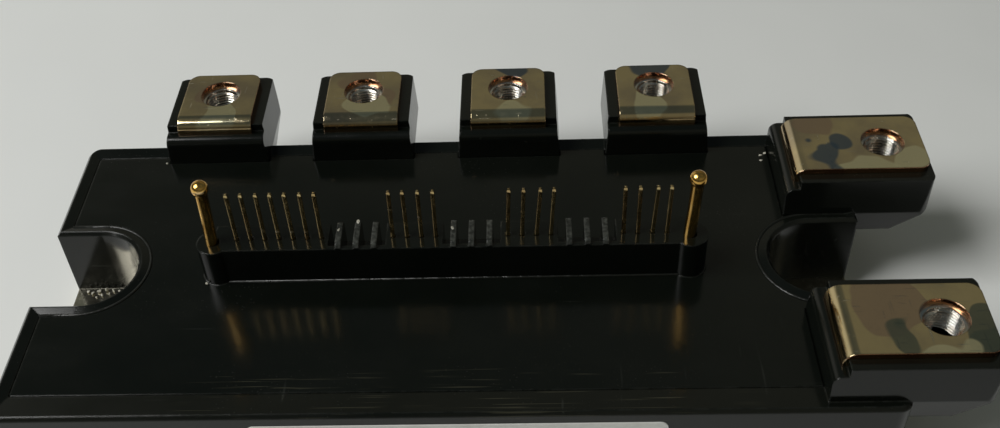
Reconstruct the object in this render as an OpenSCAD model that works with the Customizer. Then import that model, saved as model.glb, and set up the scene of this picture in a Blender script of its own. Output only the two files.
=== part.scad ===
// Power transistor module with six screw terminals and a strip of control pins.
// A flat metal base carries ceramic tiles with the chips. A black moulded case
// with a glued cover closes them in. Four phase terminals stand in a row along
// the back, and two supply terminals stick out over the right-hand end.
// Millimetres. The origin is the centre of the base's underside, +X points to
// the supply terminals, +Y to the row of four and +Z up.

/* [Case] */
// Length of the case and of the base plate
case_l = 118.4; // [114:0.2:150]
// Width of the case and of the base plate
case_w = 53.8; // [53:0.2:70]
// Height of the case above the base plate
case_h = 12.2; // [11.5:0.1:16]
// Radius of the four upright corners
corner_r = 2; // [1:0.5:4]
// Bevel along the top edges
edge_bevel = 0.5; // [0.2:0.1:0.8]
// Width of the sloping rim along the back
rim_back = 2.6; // [2:0.1:4]
// Width of the sloping rim along the front
rim_front = 4; // [2:0.1:5]
// Width of the sloping rim at the two ends
rim_end = 2; // [1.6:0.1:3]
// Drop of the rim from its crest to the cover
rim_drop = 0.4; // [0.2:0.1:0.8]
// Width of the ledge that the cover is glued to
ledge_w = 1.4; // [1:0.1:2]
// Thickness of the cover
cover_t = 2; // [1.5:0.1:2.5]

/* [Base plate] */
// Thickness of the base plate
base_t = 3; // [2:0.2:5]
// Diameter of the two mounting holes
hole_d = 5.5; // [4.5:0.1:6.5]
// Distance of a mounting hole from the end of the plate
hole_inset = 6.8; // [6:0.1:9]
// Radius of the notch around a mounting hole
notch_r = 7; // [6:0.1:7.6]
// Width of the raised ring around a notch
ring_w = 1.8; // [1.2:0.1:2.4]

/* [Screw terminals] */
// Distance between the phase terminals
phase_pitch = 23; // [18:0.5:26]
// Middle of the phase row, from the middle of the case
phase_mid = -3.1; // [-6:0.1:6]
// How far a phase screw stands out behind the case
phase_out = 4.7; // [4:0.1:7]
// Distance between the two supply terminals
supply_pitch = 34.1; // [33:0.1:40]
// Middle of the supply pair, from the middle of the case
supply_mid = -0.5; // [-2:0.1:2]
// How far a supply screw stands out past the end
supply_out = 4.4; // [4:0.1:8]
// Height of the terminal plates above the crest of the case
plate_rise = 6.6; // [5.5:0.1:9]
// Width of a terminal plate
plate_w = 11.6; // [10:0.1:12.5]
// Thickness of a terminal plate
plate_t = 1; // [0.8:0.1:1.5]
// Diameter of the screw hole in a plate
plate_hole_d = 6.2; // [5.5:0.1:6.5]
// Outer radius of the bend at the root of a plate
bend_r = 2; // [1.8:0.1:2.5]
// Ledge of moulding beside a plate
ledge_side = 1.7; // [1:0.1:2.2]
// Thickness of the moulded lip in front of the bend
lip_t = 1.3; // [1:0.1:2]
// Drop from the top of a plate to the top of the lip
lip_drop = 2.3; // [2.1:0.1:3]
// Thread size of the terminal nuts
nut_thread = 5; // [4:1:5]

/* [Control strip] */
// Distance between pins in a group
pin_pitch = 2; // [1.8:0.1:2.5]
// Distance between the last pin of a group and the first of the next
group_gap = 10; // [9:0.5:12]
// Side of a square control pin
pin_s = 0.6; // [0.5:0.02:0.8]
// Height of the control pins above the strip
pin_h = 8.65; // [6:0.05:12]
// Height of the strip above the cover
strip_h = 6.2; // [4:0.1:9]
// Middle of the pin row, from the middle of the case along its length
row_x = 0.4; // [-3:0.1:3]
// Place of the pin row across the case
row_y = -0.6; // [-3:0.1:3]
// Shaft of a guide pin
guide_d = 1.7; // [1.4:0.1:2.2]
// Ball head of a guide pin
guide_ball_d = 2.4; // [2.3:0.1:3]
// Height of a guide pin above the strip
guide_h = 11.4; // [9:0.1:15]

/* [Hidden] */
$fn = 48;

// Heights
top_z = base_t + case_h;
cover_top = top_z - rim_drop;
cover_z = cover_top - cover_t;
strip_top = cover_top + strip_h;
plate_top = top_z + plate_rise;
seat_z = plate_top - plate_t;

// Case
fit = 0.1;
notch_x = case_l / 2 - hole_inset;
cavity_back = case_w / 2 - rim_back - ledge_w;
cavity_front = case_w / 2 - rim_front - ledge_w;
notch_wall_r = notch_r + ring_w + ledge_w;
rim_corner_r = 0.4;
label_size = [54, 9.6, 0.15];
label_x = 1.6;
label_top = 1.9;

// Terminal blocks, each measured from the foot of its lip outwards
phase_in = 3.9;
phase_end = 5.4;
phase_reach = phase_in + phase_out + phase_end;
phase_y = case_w / 2 - phase_in;
supply_in = 10.6;
supply_end = 6.2;
supply_reach = supply_in + supply_out + supply_end;
supply_x = case_l / 2 - supply_in;
block_drop = 4.3;
block_low = top_z - block_drop;
block_mid = top_z - 0.3;
block_bevel = 4.9;
block_top_hw = plate_w / 2 + ledge_side;
block_mid_hw = block_top_hw + 0.45;
block_low_hw = block_top_hw - 0.3;
block_corner_r = 1.6;
plate_margin = 0.4;
plate_corner_r = 1.7;
bend_z = plate_top - bend_r;
lip_z = plate_top - lip_drop;
inner_r = 1;
leg_w = 8;
shelf_h = 2;
pad_z = base_t + shelf_h;
phase_pad = 3.8;
supply_pad = 5.9;
shelf_y = cavity_back - phase_pad - 0.8;
shelf_x = supply_x + lip_t - inner_r - supply_pad - 0.6;

// Nuts, by the usual proportions of a metric nut
nut_af = 1.6 * nut_thread;
nut_h = 0.8 * nut_thread;
nut_bore_d = 0.84 * nut_thread;
nut_play = 0.1;
screw_room = 4;

// Control strip
PIN_GROUPS = [7, 4, 4, 4];
strip_front = row_y - 2.3;
strip_back = row_y + 2.7;
guide_step = 3.25;
guide_y = row_y - 0.5;
guide_seat = 8;
boss_r = 2.4;
slot_w = group_gap - 2;
slot_depth = 3.5;
slot_wall = 0.7;
rib_t = 0.8;
rib_pitch = 2.5;
rib_over = 0.8;
pin_play = 0.03;
pin_tip = 0.6;
pin_foot = 0.6;

// Tiles, chips and board
solder_t = 0.2;
ceramic_t = 0.64;
track_t = 0.3;
chip_t = 0.35;
tile_end = min(notch_x - notch_wall_r, shelf_x) - 0.4;
tile_split = 2;
tile_l = tile_end - tile_split / 2;
tile_y0 = -cavity_front + 3.6;
tile_y1 = shelf_y - 1.5;
track_z = base_t + solder_t + ceramic_t;
chip_z = track_z + track_t;
COLUMNS = [4, 3];
track_gap = 1;
edge_gap = 1;
gate_pad = 3;
emitter_pad = 5;
transistor_s = 7.6;
diode_s = 5.6;
wire_s = 0.4;
bond_rise = 1.6;
pad_rise = 0.9;
board_z = 8.6;
board_t = 1.2;
board_x = tile_end - 1;
board_y0 = -cavity_front + 0.6;
board_y1 = shelf_y + 2.6;
post_w = 4;
post_l = 3.5;
driver_size = [7, 5, 1.5];
gate_d = 0.6;

// Places that more than one piece uses
function phase_x(i) = phase_mid + (i - 1.5) * phase_pitch;
function supply_y(side) = supply_mid + side * supply_pitch / 2;
function pins_before(g) = g == 0 ? 0 : PIN_GROUPS[g - 1] + pins_before(g - 1);
function row_at(g, i) = (pins_before(g) - g + i) * pin_pitch + g * group_gap;
row_l = row_at(len(PIN_GROUPS) - 1, PIN_GROUPS[len(PIN_GROUPS) - 1] - 1);
function pin_x(g, i) = row_x - row_l / 2 + row_at(g, i);
function gap_x(g) = pin_x(g, 0) - group_gap / 2;
function guide_x(side) = row_x + side * (row_l / 2 + guide_step);
function tile_mid(side) = side * (tile_split + tile_l) / 2;
function column_w(side) = (tile_l - 2 * edge_gap + track_gap) / COLUMNS[side > 0 ? 1 : 0];
function column_x(side, c) =
    tile_mid(side) - tile_l / 2 + edge_gap - track_gap / 2 + (c + 0.5) * column_w(side);
main_y0 = tile_y0 + edge_gap + gate_pad + track_gap;
main_y1 = tile_y1 - edge_gap - emitter_pad - track_gap;
emitter_y = tile_y1 - edge_gap - emitter_pad / 2;
gate_y = tile_y0 + edge_gap + gate_pad / 2;
transistor_y = main_y1 - transistor_s / 2 - 1;
diode_y = main_y0 + diode_s / 2 + 1.5;

// ---- Outlines

module rounded_rect(l, w, r) {
    square([l - 2 * r, w], center = true);
    square([l, w - 2 * r], center = true);
    for (x = [-1, 1], y = [-1, 1])
        translate([x * (l / 2 - r), y * (w / 2 - r)]) circle(r);
}

module notch_outline(grow) {
    for (side = [-1, 1])
        translate([side * notch_x, 0]) {
            circle(notch_r + grow);
            translate([side * case_l / 4, 0])
                square([case_l / 2, 2 * (notch_r + grow)], center = true);
        }
}

module case_outline() {
    difference() {
        rounded_rect(case_l, case_w, corner_r);
        notch_outline(0);
    }
}

// The line inside the rim, moved in by an inset and kept a ring's width off the notches
module rim_outline(inset, ring) {
    difference() {
        translate([0, (rim_front - rim_back) / 2])
            rounded_rect(case_l - 2 * (rim_end + inset),
                         case_w - rim_front - rim_back - 2 * inset, rim_corner_r);
        notch_outline(ring);
    }
}

module along_y(depth) {
    rotate([90, 0, 0]) linear_extrude(depth, center = true) children();
}

module along_x(depth) {
    rotate([90, 0, 90]) linear_extrude(depth, center = true) children();
}

// ---- Base plate

module base_plate() {
    color("tan")
    difference() {
        linear_extrude(base_t) rounded_rect(case_l, case_w, corner_r);
        for (side = [-1, 1])
            translate([side * notch_x, 0, -1]) cylinder(h = base_t + 2, d = hole_d);
    }
}

// ---- Terminals: a strip bent over the top of its block, with a leg inside

module quarter_bend(r_in, t, side_u, side_z) {
    intersection() {
        difference() {
            circle(r_in + t);
            circle(r_in);
        }
        translate([side_u > 0 ? 0 : -(r_in + t), side_z > 0 ? 0 : -(r_in + t)])
            square(r_in + t);
    }
}

// Top of the plate, its bend and the first stretch of the leg
module terminal_upper_profile(plate_end) {
    translate([lip_t + bend_r, seat_z]) square([plate_end - lip_t - bend_r, plate_t]);
    translate([lip_t + bend_r, bend_z]) quarter_bend(bend_r - plate_t, plate_t, -1, 1);
    translate([lip_t, top_z]) square([plate_t, bend_z - top_z]);
}

// Leg, lower bend and the pad that the wires are bonded to
module terminal_lower_profile(pad) {
    foot_z = pad_z + plate_t + inner_r;
    translate([lip_t, foot_z]) square([plate_t, top_z - foot_z]);
    translate([lip_t - inner_r, foot_z]) quarter_bend(inner_r, plate_t, 1, -1);
    translate([lip_t - inner_r - pad, pad_z]) square([pad, plate_t]);
}

module plate_plan(plate_end) {
    r = plate_corner_r;
    translate([0, -plate_w / 2]) square([plate_end - r, plate_w]);
    translate([0, r - plate_w / 2]) square([plate_end, plate_w - 2 * r]);
    for (y = [-1, 1])
        translate([plate_end - r, y * (plate_w / 2 - r)]) circle(r);
}

module terminal(reach, hole_u, pad) {
    plate_end = reach - plate_margin;
    difference() {
        intersection() {
            along_y(plate_w) terminal_upper_profile(plate_end);
            linear_extrude(2 * plate_top) plate_plan(plate_end);
        }
        translate([hole_u, 0, seat_z - 1]) cylinder(h = plate_t + 2, d = plate_hole_d);
    }
    along_y(leg_w) terminal_lower_profile(pad);
}

module at_phase(i) {
    translate([phase_x(i), phase_y, 0]) rotate([0, 0, 90]) children();
}

module at_supply(side) {
    translate([supply_x, supply_y(side), 0]) children();
}

module phase_terminal(i) {
    color("silver") at_phase(i) terminal(phase_reach, phase_in + phase_out, phase_pad);
}

module supply_terminal(side) {
    color("silver") at_supply(side) terminal(supply_reach, supply_in + supply_out, supply_pad);
}

// ---- Nuts under the plates

module nut() {
    bevel = 0.5;
    difference() {
        intersection() {
            cylinder(h = nut_h, d = nut_af / cos(30), $fn = 6);
            union() {
                cylinder(h = bevel, d1 = nut_af, d2 = nut_af + 4 * bevel);
                translate([0, 0, bevel]) cylinder(h = nut_h - 2 * bevel, d = nut_af + 4 * bevel);
                translate([0, 0, nut_h - bevel])
                    cylinder(h = bevel, d1 = nut_af + 4 * bevel, d2 = nut_af);
            }
        }
        translate([0, 0, -1]) cylinder(h = nut_h + 2, d = nut_bore_d);
        translate([0, 0, nut_h - bevel])
            cylinder(h = 2 * bevel, d1 = nut_bore_d, d2 = nut_bore_d + 4 * bevel);
    }
}

module terminal_nuts() {
    color("lightsteelblue") {
        for (i = [0:3])
            at_phase(i) translate([phase_in + phase_out, 0, seat_z - nut_h]) nut();
        for (side = [-1, 1])
            at_supply(side) translate([supply_in + supply_out, 0, seat_z - nut_h]) nut();
    }
}

// ---- Case

// Side view of a terminal block: rounded lip, ledge, end and the bevel under it
module block_profile(reach) {
    difference() {
        polygon([
            [0, block_low], [0, lip_z], [bend_r, lip_z], [bend_r, seat_z],
            [reach, seat_z], [reach, top_z], [reach - block_bevel, block_low]
        ]);
        translate([lip_t, lip_z - lip_t]) difference() {
            translate([-2 * lip_t, 0]) square(2 * lip_t);
            circle(lip_t);
        }
    }
}

// End view of a terminal block, widest near the crest of the case
module block_section() {
    polygon([
        [-block_top_hw, seat_z], [-block_mid_hw, block_mid], [-block_low_hw, block_low],
        [block_low_hw, block_low], [block_mid_hw, block_mid], [block_top_hw, seat_z]
    ]);
}

module block_plan(reach) {
    r = block_corner_r;
    translate([0, -block_mid_hw]) square([reach - r, 2 * block_mid_hw]);
    translate([0, r - block_mid_hw]) square([reach, 2 * (block_mid_hw - r)]);
    for (y = [-1, 1])
        translate([reach - r, y * (block_mid_hw - r)]) circle(r);
}

module terminal_block(reach) {
    intersection() {
        along_y(3 * block_top_hw) block_profile(reach);
        along_x(3 * reach) block_section();
        linear_extrude(2 * plate_top) block_plan(reach);
    }
}

// Pocket for the nut and, under it, room for the end of the screw
module nut_pocket(hole_u) {
    translate([hole_u, 0, seat_z - nut_h])
        cylinder(h = nut_h + 1, d = (nut_af + 2 * nut_play) / cos(30), $fn = 6);
    translate([hole_u, 0, seat_z - nut_h - screw_room])
        cylinder(h = screw_room + 1, d = nut_thread + 1);
}

// What a bevel takes off an edge, with the solid on the negative side of both axes
module bevel_cut() {
    b = edge_bevel;
    polygon([[-b, 0], [0, -b], [b, -b], [b, b], [-b, b]]);
}

module edge_bevels() {
    translate([0, 0, top_z]) {
        // long sides and ends
        for (side = [-1, 1]) {
            translate([0, side * case_w / 2, 0]) scale([1, side, 1])
                along_x(case_l - 2 * corner_r) bevel_cut();
            translate([side * case_l / 2, 0, 0]) scale([side, 1, 1])
                along_y(case_w - 2 * corner_r) bevel_cut();
        }
        // upright corners
        for (turn = [0:3])
            rotate([0, 0, 90 * turn])
                translate([(turn % 2 == 0 ? case_l : case_w) / 2 - corner_r,
                           (turn % 2 == 0 ? case_w : case_l) / 2 - corner_r, 0])
                    rotate_extrude(angle = 90) translate([corner_r, 0]) bevel_cut();
        // notches: the half round at the inner end and the straight sides
        for (side = [-1, 1])
            translate([side * notch_x, 0, 0]) {
                rotate([0, 0, side * 90]) rotate_extrude(angle = 180)
                    translate([notch_r, 0]) mirror([1, 0]) bevel_cut();
                for (y = [-1, 1])
                    translate([side * hole_inset / 2, y * notch_r, 0]) scale([1, -y, 1])
                        along_x(hole_inset) bevel_cut();
            }
    }
}

// The shallow tray inside the rim, with the raised rings round the notches left
module rim_slope() {
    difference() {
        intersection() {
            along_y(2 * case_w) tray_section(case_l / 2, rim_end, rim_end);
            along_x(2 * case_l) tray_section(case_w / 2, rim_front, rim_back);
        }
        for (side = [-1, 1])
            translate([side * notch_x, 0, cover_top]) {
                cylinder(h = rim_drop, r1 = notch_r + ring_w, r2 = notch_r + edge_bevel);
                translate([side * case_l / 4, 0, -cover_top]) along_x(case_l / 2) ring_section();
            }
    }
}

module tray_section(half, rim_low, rim_high) {
    polygon([
        [rim_low - half, cover_top], [half - rim_high, cover_top],
        [half - edge_bevel, top_z], [half - edge_bevel, top_z + 1],
        [-(half - edge_bevel), top_z + 1], [-(half - edge_bevel), top_z]
    ]);
}

module ring_section() {
    polygon([
        [-(notch_r + ring_w), cover_top], [-(notch_r + edge_bevel), top_z],
        [notch_r + edge_bevel, top_z], [notch_r + ring_w, cover_top]
    ]);
}

module case_shell() {
    difference() {
        translate([0, 0, base_t]) linear_extrude(case_h) case_outline();
        translate([0, 0, base_t - 1]) linear_extrude(case_h) rim_outline(ledge_w, ring_w + ledge_w);
        translate([0, 0, cover_z]) linear_extrude(case_h) rim_outline(0, ring_w);
        rim_slope();
        edge_bevels();
    }
}

// Shelves that the terminal pads lie on, and posts under the control board
module inner_shelves() {
    translate([0, 0, base_t]) {
        linear_extrude(shelf_h) intersection() {
            rim_outline(ledge_w - 1, ring_w + ledge_w - 1);
            union() {
                translate([-case_l / 2, shelf_y]) square([case_l, case_w]);
                translate([shelf_x, -case_w]) square([case_l, 2 * case_w]);
            }
        }
        linear_extrude(board_z - base_t) {
            for (i = [0.5, 2.5])
                translate([phase_x(i) - post_w / 2, shelf_y]) square([post_w, cavity_back - shelf_y + 1]);
            for (x = [-1, 1])
                translate([x * board_x * 0.75 - post_w / 2, -cavity_front - 1]) square([post_w, post_l]);
        }
    }
}

module case_frame() {
    color("#1b1c1a")
    difference() {
        union() {
            case_shell();
            inner_shelves();
            for (i = [0:3]) at_phase(i) terminal_block(phase_reach);
            for (side = [-1, 1]) at_supply(side) terminal_block(supply_reach);
        }
        for (i = [0:3])
            at_phase(i) {
                terminal(phase_reach, phase_in + phase_out, phase_pad);
                nut_pocket(phase_in + phase_out);
            }
        for (side = [-1, 1])
            at_supply(side) {
                terminal(supply_reach, supply_in + supply_out, supply_pad);
                nut_pocket(supply_in + supply_out);
            }
    }
}

// ---- Cover with the control strip

module strip_outline() {
    translate([guide_x(-1), strip_front]) square([guide_x(1) - guide_x(-1), strip_back - strip_front]);
    for (side = [-1, 1]) translate([guide_x(side), guide_y]) circle(boss_r);
}

module block_clearance(reach) {
    half = block_mid_hw + fit;
    translate([-fit, -half]) square([reach, 2 * half]);
}

// Side view of a rib: it stands in the slot and rises over the strip with rounded ends
module rib_profile() {
    r = rib_over;
    depth = strip_back - strip_front;
    translate([strip_front, strip_top - slot_depth]) square([depth, slot_depth]);
    translate([strip_front + r, strip_top]) square([depth - 2 * r, rib_over]);
    for (y = [strip_front + r, strip_back - r])
        translate([y, strip_top]) circle(r);
}

module top_cover() {
    color("#1e201d")
    difference() {
        union() {
            translate([0, 0, cover_z]) linear_extrude(cover_t) difference() {
                rim_outline(fit, ring_w + fit);
                for (i = [0:3])
                    translate([phase_x(i), phase_y]) rotate(90) block_clearance(phase_reach);
                for (side = [-1, 1])
                    translate([supply_x, supply_y(side)]) block_clearance(supply_reach);
            }
            difference() {
                translate([0, 0, cover_top]) linear_extrude(strip_h) strip_outline();
                for (g = [1:len(PIN_GROUPS) - 1])
                    translate([gap_x(g) - slot_w / 2, strip_front + slot_wall, strip_top - slot_depth])
                        cube([slot_w, case_w, slot_depth + 1]);
            }
            for (g = [1:len(PIN_GROUPS) - 1], k = [-1:1])
                translate([gap_x(g) + k * rib_pitch, 0, 0]) along_x(rib_t) rib_profile();
        }
        for (g = [0:len(PIN_GROUPS) - 1], i = [0:PIN_GROUPS[g] - 1])
            translate([pin_x(g, i), row_y, 0])
                linear_extrude(strip_top + 1) square(pin_s + 2 * pin_play, center = true);
        for (side = [-1, 1])
            translate([guide_x(side), guide_y, strip_top - guide_seat + 1])
                cylinder(h = guide_seat, d = guide_d);
    }
}

// ---- Control pins and guide pins

// Square pin with a tapered tip, seen from the side
module pin_profile() {
    foot_z = board_z - pin_foot;
    tip_z = strip_top + pin_h;
    polygon([
        [-pin_s / 2, foot_z], [-pin_s / 2, tip_z - pin_tip], [-pin_s / 4, tip_z],
        [pin_s / 4, tip_z], [pin_s / 2, tip_z - pin_tip], [pin_s / 2, foot_z]
    ]);
}

module control_pins(g) {
    color("goldenrod")
    for (i = [0:PIN_GROUPS[g] - 1])
        translate([pin_x(g, i), row_y, 0])
            intersection() {
                along_y(pin_s) pin_profile();
                along_x(pin_s) pin_profile();
            }
}

module guide_pin(side) {
    ball_z = strip_top + guide_h - guide_ball_d / 2;
    color("darkgoldenrod")
    translate([guide_x(side), guide_y, 0]) {
        translate([0, 0, strip_top - guide_seat + 1])
            cylinder(h = ball_z - strip_top + guide_seat - 1, d = guide_d);
        translate([0, 0, ball_z]) sphere(d = guide_ball_d);
    }
}

// ---- Label on the front wall

module front_label() {
    color("white")
    translate([label_x, -case_w / 2, top_z - label_top - label_size[1] / 2])
        rotate([90, 0, 0]) linear_extrude(label_size[2]) rounded_rect(label_size[0], label_size[1], 1);
}

// ---- Tiles under the chips

module tile(side, z, t, inset) {
    translate([tile_mid(side) - tile_l / 2 + inset, tile_y0 + inset, z])
        cube([tile_l - 2 * inset, tile_y1 - tile_y0 - 2 * inset, t]);
}

module solder(side) {
    color("gray") tile(side, base_t, solder_t, 0.5);
}

module ceramic(side) {
    color("ivory") tile(side, base_t + solder_t, ceramic_t, 0);
}

module pad_at(x, y0, y1, w) {
    translate([x - w / 2, y0, track_z]) cube([w, y1 - y0, track_t]);
}

module copper_tracks(side) {
    color("peru")
    for (c = [0:COLUMNS[side > 0 ? 1 : 0] - 1]) {
        x = column_x(side, c);
        w = column_w(side) - track_gap;
        pad_at(x, main_y0, main_y1, w);
        pad_at(x, emitter_y - emitter_pad / 2, emitter_y + emitter_pad / 2, w);
        for (k = [-1, 1])
            pad_at(x + k * w / 4, gate_y - gate_pad / 2, gate_y + gate_pad / 2, w / 2 - track_gap);
    }
}

module each_column() {
    for (side = [-1, 1], c = [0:COLUMNS[side > 0 ? 1 : 0] - 1])
        translate([column_x(side, c), 0, 0]) children();
}

module chip(s, y) {
    translate([-s / 2, y - s / 2, chip_z]) cube([s, s, chip_t]);
}

module transistor_chips() {
    color("dimgray") each_column() chip(transistor_s, transistor_y);
}

module diode_chips() {
    color("darkgray") each_column() chip(diode_s, diode_y);
}

// ---- Wires: a flat foot at each end and a straight-sided loop between them

module wire(p, q, z0, z1, rise) {
    span = norm(q - p);
    foot = 0.9;
    run = span * 0.3;
    loop_z = max(z0, z1) + rise;
    path = [[0, z0], [foot, z0], [run, loop_z], [span - run, loop_z], [span - foot, z1], [span, z1]];
    over = [for (k = [len(path) - 1:-1:0]) path[k] + [0, wire_s]];
    translate([p.x, p.y, 0]) rotate([0, 0, atan2(q.y - p.y, q.x - p.x)])
        along_y(wire_s) polygon(concat(path, over));
}

module bond_wires() {
    chip_top = chip_z + chip_t;
    color("gainsboro")
    each_column() for (k = [-1, 1]) {
        // transistor to the strip behind it
        wire([k * 1.8, transistor_y + 1.5], [k * 1.8, emitter_y - 0.6], chip_top, chip_z, bond_rise);
        // diode to transistor
        wire([k * 1.2, diode_y - 1], [k * 1.2, transistor_y - 0.5], chip_top, chip_top, bond_rise);
    }
}

module terminal_wires() {
    pad_top = pad_z + plate_t;
    pad_y = phase_y + lip_t - inner_r - phase_pad;
    pad_x = supply_x + lip_t - inner_r - supply_pad;
    color("gainsboro")
    for (k = [-1:1]) {
        for (i = [0:3])
            wire([phase_x(i) + k * 1.6, pad_y + 1.6], [phase_x(i) + k * 1.6, emitter_y + 0.4],
                 pad_top, chip_z, pad_rise);
        wire([pad_x + 1.6, supply_y(1) - 2.4 + k * 1.2], [tile_end - 2.4, emitter_y + 0.4 + k * 1.2],
             pad_top, chip_z, pad_rise);
        wire([pad_x + 1.6, supply_y(-1) + 1.6 + k * 1.2], [tile_end - 2.4, main_y0 + 2.6 + k * 1.2],
             pad_top, chip_z, pad_rise);
    }
}

// ---- Control board, its driver chips and the posts from the gate pads

module board_plan() {
    translate([-board_x, board_y0]) square([2 * board_x, board_y1 - board_y0]);
}

module control_board() {
    color("darkgreen")
    translate([0, 0, board_z]) linear_extrude(board_t) difference() {
        board_plan();
        for (g = [0:len(PIN_GROUPS) - 1], i = [0:PIN_GROUPS[g] - 1])
            translate([pin_x(g, i), row_y]) square(pin_s + 2 * pin_play, center = true);
        gate_places() circle(d = gate_d + 2 * pin_play);
    }
}

module gate_places() {
    for (side = [-1, 1], c = [0:COLUMNS[side > 0 ? 1 : 0] - 1], k = [-1, 1])
        translate([column_x(side, c) + k * (column_w(side) - track_gap) / 4, gate_y]) children();
}

module gate_posts() {
    color("gold")
    translate([0, 0, chip_z]) linear_extrude(board_z + board_t + 0.4 - chip_z)
        gate_places() circle(d = gate_d);
}

module driver_chips() {
    bevel = 0.4;
    color("black")
    each_column()
        translate([0, (row_y + gate_y) / 2, board_z + board_t])
            along_y(driver_size[1]) polygon([
                [-driver_size[0] / 2, 0], [driver_size[0] / 2, 0],
                [driver_size[0] / 2, driver_size[2] / 2],
                [driver_size[0] / 2 - bevel, driver_size[2]],
                [bevel - driver_size[0] / 2, driver_size[2]],
                [-driver_size[0] / 2, driver_size[2] / 2]
            ]);
}

base_plate();
case_frame();
top_cover();
front_label();
phase_terminal(0);  // phase_terminal_1
phase_terminal(1);  // phase_terminal_2
phase_terminal(2);  // phase_terminal_3
phase_terminal(3);  // phase_terminal_4
supply_terminal(1);  // supply_terminal_back
supply_terminal(-1);  // supply_terminal_front
terminal_nuts();
control_pins(0);  // control_pins_1
control_pins(1);  // control_pins_2
control_pins(2);  // control_pins_3
control_pins(3);  // control_pins_4
guide_pin(-1);  // guide_pin_left
guide_pin(1);  // guide_pin_right
solder(-1);  // solder_left
solder(1);  // solder_right
ceramic(-1);  // ceramic_left
ceramic(1);  // ceramic_right
copper_tracks(-1);  // copper_tracks_left
copper_tracks(1);  // copper_tracks_right
transistor_chips();
diode_chips();
bond_wires();
terminal_wires();
control_board();
driver_chips();
gate_posts();
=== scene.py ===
import math
import bpy
from mathutils import Matrix, Vector


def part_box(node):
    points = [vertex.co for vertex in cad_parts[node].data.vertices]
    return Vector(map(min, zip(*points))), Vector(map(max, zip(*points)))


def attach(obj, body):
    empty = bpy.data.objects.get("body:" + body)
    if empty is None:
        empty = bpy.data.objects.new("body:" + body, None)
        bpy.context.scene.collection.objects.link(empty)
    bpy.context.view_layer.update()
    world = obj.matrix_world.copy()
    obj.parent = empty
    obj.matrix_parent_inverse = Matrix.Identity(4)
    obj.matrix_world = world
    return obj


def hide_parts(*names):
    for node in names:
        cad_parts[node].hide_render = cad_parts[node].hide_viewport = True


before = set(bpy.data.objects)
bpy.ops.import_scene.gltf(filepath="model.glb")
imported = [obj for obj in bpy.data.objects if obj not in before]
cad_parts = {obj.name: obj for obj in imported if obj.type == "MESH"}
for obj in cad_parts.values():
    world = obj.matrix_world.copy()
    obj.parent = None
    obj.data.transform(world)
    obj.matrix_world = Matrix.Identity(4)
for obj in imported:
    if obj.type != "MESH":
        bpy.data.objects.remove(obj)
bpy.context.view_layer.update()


# ---- Base plate
# Copper, stamped flat and nickel plated, with a screw hole at each end. The underside is
# lapped so that it beds on the heatsink, and the case is glued down round its edge.

PLATE_EDGE_ROUND = 0.00025
NICKEL_WARM = (0.68, 0.65, 0.54, 1)
NICKEL_STAIN = (0.52, 0.48, 0.36, 1)


def shader_group(name, inputs, outputs):
    group = bpy.data.node_groups.new(name, "ShaderNodeTree")
    for label, kind, value in inputs:
        socket = group.interface.new_socket(label, in_out="INPUT", socket_type=kind)
        socket.default_value = value
    for label, kind in outputs:
        group.interface.new_socket(label, in_out="OUTPUT", socket_type=kind)
    start = group.nodes.new("NodeGroupInput")
    end = group.nodes.new("NodeGroupOutput")
    return group, start, end


def noise(tree, vector, scale, detail=3, roughness=0.5):
    texture = tree.nodes.new("ShaderNodeTexNoise")
    texture.inputs["Detail"].default_value = detail
    texture.inputs["Roughness"].default_value = roughness
    feed(tree, vector, texture.inputs["Vector"])
    feed(tree, scale, texture.inputs["Scale"])
    return texture.outputs["Fac"]


def feed(tree, value, socket):
    if isinstance(value, bpy.types.NodeSocket):
        tree.links.new(value, socket)
    else:
        socket.default_value = value


def remap(tree, value, low, high, to_low=0, to_high=1):
    node = tree.nodes.new("ShaderNodeMapRange")
    for socket, number in zip(node.inputs[:5], (value, low, high, to_low, to_high)):
        feed(tree, number, socket)
    return node.outputs["Result"]


def blend(tree, mask, first, second):
    node = tree.nodes.new("ShaderNodeMix")
    node.data_type = "RGBA"
    feed(tree, mask, node.inputs["Factor"])
    feed(tree, first, node.inputs[6])
    feed(tree, second, node.inputs[7])
    return node.outputs[2]


def sums(tree, operation, first, second):
    node = tree.nodes.new("ShaderNodeMath")
    node.operation = operation
    feed(tree, first, node.inputs[0])
    feed(tree, second, node.inputs[1])
    return node.outputs[0]


def stretched(tree, vector, scale, turn=0.0):
    node = tree.nodes.new("ShaderNodeMapping")
    feed(tree, vector, node.inputs["Vector"])
    node.inputs["Scale"].default_value = scale
    node.inputs["Rotation"].default_value = (0, 0, turn)
    return node.outputs["Vector"]


# The edges of a piece as a patchy mask for wear, and on the case for a painted sheen too, and its normal
# with those edges rounded over
rounded_edges, start, end = shader_group(
    "rounded_edges",
    [("Round", "NodeSocketFloat", 0.0003), ("Patch Scale", "NodeSocketFloat", 400.0)],
    [("Mask", "NodeSocketFloat"), ("Normal", "NodeSocketVector")],
)
bevel = rounded_edges.nodes.new("ShaderNodeBevel")
bevel.samples = 4
rounded_edges.links.new(start.outputs["Round"], bevel.inputs["Radius"])
surface = rounded_edges.nodes.new("ShaderNodeNewGeometry")
turned_by = rounded_edges.nodes.new("ShaderNodeVectorMath")
turned_by.operation = "DOT_PRODUCT"
rounded_edges.links.new(bevel.outputs["Normal"], turned_by.inputs[0])
rounded_edges.links.new(surface.outputs["Normal"], turned_by.inputs[1])
edge = remap(rounded_edges, turned_by.outputs["Value"], 0.995, 0.85)
place = rounded_edges.nodes.new("ShaderNodeTexCoord").outputs["Object"]
patch = remap(rounded_edges, noise(rounded_edges, place, start.outputs["Patch Scale"], 4, 0.65), 0.35, 0.62)
rounded_edges.links.new(sums(rounded_edges, "MULTIPLY", edge, patch), end.inputs["Mask"])
rounded_edges.links.new(bevel.outputs["Normal"], end.inputs["Normal"])

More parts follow.
